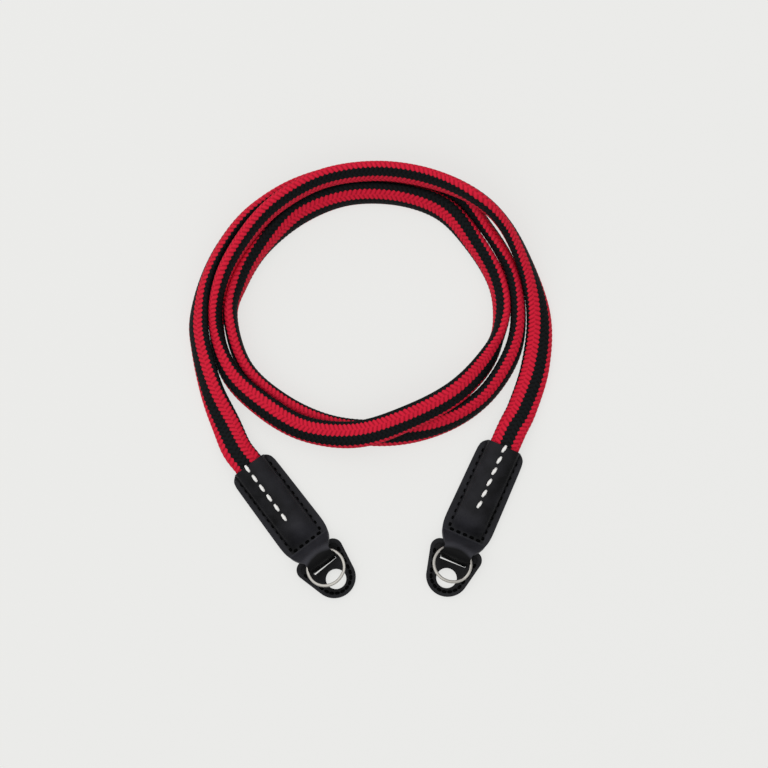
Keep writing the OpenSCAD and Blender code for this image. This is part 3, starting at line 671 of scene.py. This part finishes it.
def buildTab(side, hide, edgeMaterial):
    line, turnIndex = strapLine()
    bpy.ops.mesh.primitive_grid_add(x_subdivisions=len(line) - 1, y_subdivisions=tab["acrossCount"], size=2)
    piece = bpy.context.object
    corner = tab["corner"]
    rubMarksAndPaintedLight = []
    for vertex in piece.data.vertices:
        i = round((vertex.co.x + 1) / 2 * (len(line) - 1))
        x, z = line[i]
        y = vertex.co.y * tabHalf(x)
        past = abs(y) - (tabHalf(0) - corner)
        if past > 0 and x < tab["cornerReach"]:
            cut = corner * (1 - math.sqrt(max(0, 1 - (past / corner) ** 2)))
            x += cut * (1 - x / tab["cornerReach"]) ** 2
        if i < turnIndex and x < tab["backFoot"] + tab["domePast"]:
            z += domeRise(side, x, y)
        vertex.co = (x, y, z)
        # Painted light and shade at this point of the strip
        rubMarksAndPaintedLight.append(tabPaintedLightAt(side, x, y, i > turnIndex))
    paintedLightAndShade = piece.data.attributes.new("paintedLightAndShade", "FLOAT", "POINT")
    paintedLightAndShade.data.foreach_set("value", rubMarksAndPaintedLight)
    applyModifier(piece, "SOLIDIFY", thickness=tab["leather"], offset=0, use_even_offset=True,
        material_offset_rim=1)
    applyModifier(piece, "BEVEL", width=tab["bevel"], segments=2, limit_method="ANGLE",
        angle_limit=math.radians(50))
    piece.data.transform(endFrame(side))
    pointOutwards(piece)
    rims = [face.material_index for face in piece.data.polygons]
    finishPiece(piece, side + "_leather_end", "strap", [hide, edgeMaterial],
        [side + "_tab_leather"], smoothAngle=60)
    for face, index in zip(piece.data.polygons, rims):
        face.material_index = index


# A stitch is one grain of thread, modelled once and then copied along its row; its plies stand out as ribs
plyRib = {"height": 0.09, "twist": 6}


def threadGrain(length, width, height, dip, plies, segments, rings):
    bpy.ops.mesh.primitive_uv_sphere_add(segments=segments, ring_count=rings, radius=1,
        rotation=(0, math.pi / 2, 0))
    grain = bpy.context.object
    applyPlace()
    for vertex in grain.data.vertices:
        x, y, z = vertex.co
        around = math.atan2(z, y)
        fuller = math.sqrt(1 + min(1, x * x))
        rope = 1 + plyRib["height"] * math.cos(plies * around + plyRib["twist"] * x)
        vertex.co = (x * length / 2, y * fuller * rope * width / 2,
            z * fuller * rope * height / 2 - dip * abs(x) ** 3)
    return grain


def rowOfGrains(grain, places):
    copies = []
    for place in places:
        copy = grain.copy()
        copy.data = grain.data.copy()
        copy.data.transform(place)
        bpy.context.scene.collection.objects.link(copy)
        copies.append(copy)
    bpy.data.objects.remove(grain)
    return joinPieces(copies)


def between(p, q, z):
    middle = (Vector(p) + Vector(q)) / 2
    turn = math.atan2(q[1] - p[1], q[0] - p[0])
    return Matrix.Translation((middle.x, middle.y, z)) @ Matrix.Rotation(turn, 4, "Z")


def deckHeight(side, x, y):
    return tab["leather"] * 2 + tab["slip"] + domeRise(side, x, y)


# The black seams' thread; side and cross are the shares of a stitch that show, on top of an end and elsewhere
seamThread = {"diameter": 0.0012, "flattened": 0.9, "dip": 0.0003, "proud": 0.0001, "side": 0.56,
    "cross": 0.74}


def seamGrain(pitch, show):
    diameter = seamThread["diameter"]
    return threadGrain(pitch * show, diameter, diameter * seamThread["flattened"], seamThread["dip"],
        plies=3, segments=10, rings=8)


def buildTabSeam(side, material):
    rows, half = sideStitches(), tab["seamHalf"]
    halfStep = (rows[1] - rows[0]) / 2
    sides = [(x + halfStep, y) for y in (half, -half) for x in rows[:-1]]
    crossing = crossStitches()
    across = [(tab["crossRow"], (p + q) / 2) for p, q in zip(crossing[:-1], crossing[1:])]
    height = tab["leather"] * 2 + tab["slip"] + seamThread["proud"]

    def placeOf(x, y):
        return endFrame(side) @ Matrix.Translation((x, y, height + domeRise(side, x, y)))

    quarterTurn = Matrix.Rotation(math.pi / 2, 4, "Z")
    seam = joinPieces([
        rowOfGrains(seamGrain(halfStep * 2, seamThread["side"]), [placeOf(x, y) for x, y in sides]),
        rowOfGrains(seamGrain(crossing[0] - crossing[1], seamThread["cross"]),
            [placeOf(x, y) @ quarterTurn for x, y in across]),
    ])
    finishPiece(seam, side + "_leather_seam", "strap", [material], [side + "_tab_thread"])


def buildWhiteRow(side, material):
    row = ends[side]["whiteRow"]
    slant = Matrix.Rotation(math.radians(ends[side]["slant"]), 4, "Z")
    places = []
    for i in range(whiteRow["count"]):
        x = whiteRow["from"] + whiteRow["pitch"] * i + whiteRow["length"] / 2 - whiteRow["lead"]
        z = deckHeight(side, max(x, whiteRow["deckFrom"]), row) + whiteRow["proud"]
        places.append(Matrix.Translation((x, row, z)) @ slant)
    grain = threadGrain(whiteRow["length"], whiteRow["width"], whiteRow["height"], whiteRow["dip"],
        plies=2, segments=20, rings=16)
    stitches = rowOfGrains(grain, [endFrame(side) @ place for place in places])
    finishPiece(stitches, side + "_white_stitches", "strap", [material],
        [side + "_white_thread"])


# The split ring is two turns of flat wire, with a step where one turn ends. Its angles are in degrees: how
# far it is tipped up at rest, where the wire starts, and how long it takes to climb to the next turn
splitRing = {
    "outer": 0.008, "wireWidth": 0.0011, "wireHeight": 0.00056, "wireSides": 16, "squareness": 0.35,
    "slip": 0.00005, "rest": 22, "first": 24, "climb": 40, "steps": 144,
    "windPitch": 0.01,     # height per turn while the wire is wound, which the levels then replace
}
splitRing["reach"] = splitRing["outer"] - (splitRing["outer"] - math.sqrt(
    (splitRing["outer"] - splitRing["wireWidth"]) ** 2 - tab["neckHalf"] ** 2)) / 2


def buildRing(side, material):
    middle = splitRing["outer"] - splitRing["wireWidth"] / 2
    spread = splitRing["windPitch"]
    sweep = 720 - 2 * splitRing["first"]
    bpy.ops.mesh.primitive_circle_add(vertices=splitRing["wireSides"], radius=1, fill_type="NOTHING",
        rotation=(math.pi / 2, 0, 0))
    ring = bpy.context.object
    applyPlace()
    for vertex in ring.data.vertices:
        x, _, z = vertex.co
        squarer = max(abs(x), abs(z)) ** splitRing["squareness"]
        vertex.co = (middle + x * splitRing["wireWidth"] / 2 / squarer, 0,
            z * splitRing["wireHeight"] / 2 / squarer)
    applyModifier(ring, "SCREW", angle=math.radians(sweep), screw_offset=spread * sweep / 360,
        steps=splitRing["steps"], render_steps=splitRing["steps"], use_merge_vertices=False)
    bpy.ops.object.mode_set(mode="EDIT")
    bpy.ops.mesh.select_all(action="SELECT")
    bpy.ops.mesh.region_to_loop()
    bpy.ops.mesh.edge_face_add()
    bpy.ops.object.mode_set(mode="OBJECT")
    for vertex in ring.data.vertices:
        angle = math.degrees(math.atan2(vertex.co.y, vertex.co.x)) % 360
        guess = vertex.co.z / spread * 360
        turned = angle + 360 * round((guess - angle) / 360)
        flat = vertex.co.z - turned / 360 * spread
        level = smoothStep(360 - splitRing["first"] - splitRing["climb"] / 2,
            360 - splitRing["first"] + splitRing["climb"] / 2, turned)
        vertex.co.z = flat + (splitRing["wireHeight"] + splitRing["slip"]) * (level - 0.5)
    place = (endFrame(side) @ Matrix.Translation((ringHinge.x, 0, ringHinge.z))
        @ Matrix.Rotation(math.radians(-splitRing["rest"]), 4, "Y")
        @ Matrix.Translation((splitRing["reach"], 0, 0))
        @ Matrix.Rotation(math.radians(ends[side]["ringStep"] + splitRing["first"]), 4, "Z"))
    ring.data.transform(place)
    pointOutwards(ring)
    finishPiece(ring, side + "_key_ring", side + "_ring", [material],
        [side + "_split_ring"], smoothAngle=50)


# The guard is two layers of leather, threaded on to the strip through a slit
def guardPlace(side):
    return (endFrame(side) @ Matrix.Translation((guardHinge.x, 0, guardHinge.z))
        @ Matrix.Rotation(math.radians(guard["yaw"]), 4, "Z") @ Matrix.Rotation(guard["droop"], 4, "Y"))


def guardRounds():
    shoulderX = guard["shoulderRadius"] - guard["back"]
    shoulderY = guard["width"] / 2 - guard["shoulderRadius"]
    return [(guard["length"], 0, guard["endRadius"]), (shoulderX, shoulderY, guard["shoulderRadius"]),
        (shoulderX, -shoulderY, guard["shoulderRadius"])]


# Light and shade painted into the guard's colour: the rim outside the seam is paler, the seam carries painted
# shade where it is pulled in, and the panel inside it is slightly darker
guardPaintedLight = {"rim": 0.35, "seam": -0.4, "seamHalf": 0.0002, "inside": -0.15, "directions": 72}


def guardPaintedLightAt(point):
    depths = []
    for i in range(guardPaintedLight["directions"]):
        way = math.radians(i * 360 / guardPaintedLight["directions"])
        ux, uy = math.cos(way), math.sin(way)
        edgeAt = max(x * ux + y * uy + radius for x, y, radius in guardRounds())
        depths.append(edgeAt - point.x * ux - point.y * uy)
    depth = min(depths)
    if abs(depth - guard["seam"]) < guardPaintedLight["seamHalf"]:
        return guardPaintedLight["seam"]
    return guardPaintedLight["rim"] if depth < guard["seam"] else guardPaintedLight["inside"]


def guardBlank(low, grooveSide):
    discs = []
    for x, y, radius in guardRounds():
        bpy.ops.mesh.primitive_cylinder_add(vertices=guard["facets"], radius=radius, depth=guard["layer"],
            location=(x, y, low + guard["layer"] / 2))
        applyPlace()
        discs.append(bpy.context.object)
        deselectAll()
    blank = joinPieces(discs)
    bpy.ops.object.mode_set(mode="EDIT")
    bpy.ops.mesh.select_all(action="SELECT")
    bpy.ops.mesh.convex_hull()
    bpy.ops.mesh.select_all(action="SELECT")
    bpy.ops.mesh.remove_doubles(threshold=guard["weld"])
    bpy.ops.mesh.dissolve_limited(angle_limit=math.radians(0.5))
    selectFaces(blank, lambda face: face.normal.z * grooveSide > 0.9)
    width, depth = guard["grooveWidth"], guard["grooveDepth"] * grooveSide
    bpy.ops.mesh.inset(thickness=guard["seam"] - width, depth=0)
    bpy.ops.mesh.inset(thickness=width, depth=0)
    bpy.ops.transform.translate(value=(0, 0, -depth))
    bpy.ops.mesh.inset(thickness=width, depth=0)
    bpy.ops.transform.translate(value=(0, 0, depth))
    bpy.ops.object.mode_set(mode="OBJECT")
    return blank


def boxCutter(size, middle):
    bpy.ops.mesh.primitive_cube_add(size=1, location=middle)
    bpy.ops.transform.resize(value=size)
    applyPlace()
    return bpy.context.object


def cutAway(piece, cutter):
    applyModifier(piece, "BOOLEAN", operation="DIFFERENCE", object=cutter, solver="EXACT")
    bpy.data.objects.remove(cutter)


# The back layer is pared thin behind the slit, so that the guard can rock over the strip below it
def pareBehindSlit(layer, low):
    slope = math.atan(guard["pared"] * guard["layer"] / (guard["back"] - guard["slitBack"]))
    knife = boxCutter((guard["knife"], guard["knife"], guard["cutter"]), (0, 0, -guard["cutter"] / 2))
    knife.data.transform(Matrix.Translation((-guard["slitBack"], 0, low + guard["paredFrom"]))
        @ Matrix.Rotation(slope, 4, "Y"))
    cutAway(layer, knife)


def buildGuardLayer(side, which, hide, edgeMaterial):
    front = which == "front"
    low = guard["slip"] / 2 if front else -guard["slip"] / 2 - guard["layer"]
    layer = guardBlank(low, 1 if front else -1)
    bpy.ops.mesh.primitive_cylinder_add(vertices=guard["facets"], radius=guard["holeRadius"],
        depth=guard["cutter"], location=(guard["holeAt"], 0, 0))
    cutAway(layer, bpy.context.object)
    slitFrom = guard["slitBack"] if front else guard["slitBack"] + guard["backRoom"]
    slitTo = guard["slitWidth"] - guard["slitBack"]
    cutAway(layer, boxCutter((slitFrom + slitTo, 2 * guard["slitHalf"], guard["cutter"]),
        ((slitTo - slitFrom) / 2, 0, 0)))
    applyModifier(layer, "BEVEL", width=guard["bevel"], segments=3, limit_method="ANGLE",
        angle_limit=math.radians(45))
    if not front:
        pareBehindSlit(layer, low)
    applyModifier(layer, "TRIANGULATE")
    sideFaces = [abs(face.normal.z) < 0.5 for face in layer.data.polygons]
    # Painted light and shade at each point of the layer
    paintedLightAndShade = layer.data.attributes.new("paintedLightAndShade", "FLOAT", "POINT")
    paintedLightAndShade.data.foreach_set("value", [guardPaintedLightAt(vertex.co) for vertex in layer.data.vertices])
    layer.data.transform(guardPlace(side))
    finishPiece(layer, side + "_ring_guard_" + which, side + "_guard", [hide, edgeMaterial],
        [side + "_guard_" + which], smoothAngle=40)
    for face, isEdge in zip(layer.data.polygons, sideFaces):
        face.material_index = 1 if isEdge else 0


# The stitch holes of the guard's seam, from one shoulder round its end to the other shoulder
def guardHoles():
    shoulder = Vector((guard["shoulderRadius"] - guard["back"], guard["width"] / 2 - guard["shoulderRadius"]))
    centre = Vector((guard["length"], 0))
    away = centre - shoulder
    narrower = guard["shoulderRadius"] - guard["endRadius"]
    lean = math.atan2(away.y, away.x) + math.acos(narrower / away.length)
    run = guard["endRadius"] - guard["seam"]
    endSteps = math.ceil(lean * run / guard["pitch"])
    half = []
    for i in range(endSteps + 1):
        a = lean * i / endSteps
        half.append(centre + run * Vector((math.cos(a), math.sin(a))))
    finish = shoulder + (guard["shoulderRadius"] - guard["seam"]) * Vector((math.cos(lean), math.sin(lean)))
    sideSteps = round((finish - half[-1]).length / guard["pitch"])
    start = half[-1]
    half += [start + (finish - start) * i / sideSteps for i in range(1, sideSteps + 1)]
    return [Vector((p.x, -p.y)) for p in half[:0:-1]] + half


def buildGuardSeam(side, material):
    holes = guardHoles()
    height = guard["thickness"] / 2 + seamThread["proud"] / 2
    places = [between(p, q, height) for p, q in zip(holes[:-1], holes[1:])]
    grain = seamGrain(guard["pitch"], seamThread["cross"])
    seam = rowOfGrains(grain, [guardPlace(side) @ place for place in places])
    finishPiece(seam, side + "_guard_seam", side + "_guard", [material],
        [side + "_guard_thread"])


# Pale paper in a soft white room, with one large lamp from the upper left
studio = {
    "table": "#ECECEA", "tableSize": 6, "tableAt": (0, 0.05, 0), "shown": 0.8,
    "zenith": 1.0, "zenithFrom": 0.9, "horizon": 0.15,
    "key": 20.0, "keyAt": (-1.15, 0.8, 1.35), "keySize": 3.6,
}


# Matt paper that the camera and reflections see at its own colour, with only a share of its shading
def paperTable():
    material, tree = newMaterial("matPaper")
    seen = addNode(tree, "ShaderNodeLightPath", {}).node
    shiny = addNode(tree, "ShaderNodeMath", {0: seen.outputs["Is Glossy Ray"],
        1: seen.outputs["Is Transmission Ray"]}, operation="MAXIMUM")
    either = addNode(tree, "ShaderNodeMath", {0: seen.outputs["Is Camera Ray"], 1: shiny},
        operation="MAXIMUM")
    share = addNode(tree, "ShaderNodeMath", {0: either, 1: studio["shown"]}, operation="MULTIPLY")
    paper = addNode(tree, "ShaderNodeBsdfDiffuse", {"Color": linear(studio["table"])})
    plain = addNode(tree, "ShaderNodeEmission", {"Color": linear(studio["table"]), "Strength": 1.0})
    surfaceOutput(tree, addNode(tree, "ShaderNodeMixShader", {0: share, 1: paper, 2: plain}))
    return material


# A white room whose walls are dimmer than its ceiling, so that round things show their form
def softRoom():
    world = bpy.data.worlds.new("softRoom")
    bpy.context.scene.world = world
    world.use_nodes = True
    tree = world.node_tree
    tree.nodes.clear()
    way = addNode(tree, "ShaderNodeTexCoord", {}, "Generated")
    up = addNode(tree, "ShaderNodeSeparateXYZ", {0: way}, 2)
    level = addNode(tree, "ShaderNodeMapRange", {0: up, 1: 0.0, 2: studio["zenithFrom"],
        3: studio["horizon"], 4: studio["zenith"]})
    room = addNode(tree, "ShaderNodeBackground", {"Color": linear("#FFFFFF"), "Strength": level})
    addNode(tree, "ShaderNodeOutputWorld", {"Surface": room})


def buildStudio():
    bpy.ops.mesh.primitive_plane_add(size=studio["tableSize"], location=studio["tableAt"])
    table = bpy.context.object
    table.name = "table_top"
    table.data.materials.append(paperTable())
    softRoom()
    bpy.ops.object.light_add(type="AREA", location=studio["keyAt"])
    lamp = bpy.context.object
    lamp.name = "key_softbox"
    lamp.data.energy = studio["key"]
    lamp.data.size = studio["keySize"]
    aim = Vector((*shot["centre"], 0)) - Vector(studio["keyAt"])
    lamp.rotation_euler = aim.to_track_quat("-Z", "Y").to_euler()
    deselectAll()


bpy.context.scene.view_settings.view_transform = "Standard"
addCamera()
print("camera ready")
buildCord(braidedPolyester())
print("cord laid")
tabHide, guardHide = smoothCowhide("satinCowhide"), smoothCowhide("grainedCowhide")
edge = dyedEdge()
blackThread, whiteThread = twistedThread("bondedNylonThread"), twistedThread("waxedLinenThread")
nickel = nickelPlate()
for endName in ends:
    buildTab(endName, tabHide, edge)
    buildTabSeam(endName, blackThread)
    buildWhiteRow(endName, whiteThread)
    print(endName, "leather end sewn")
    buildRing(endName, nickel)
    buildGuardLayer(endName, "front", guardHide, edge)
    buildGuardLayer(endName, "back", guardHide, edge)
    buildGuardSeam(endName, blackThread)
    print(endName, "ring and guard fitted")
buildStudio()
print("studio lit")
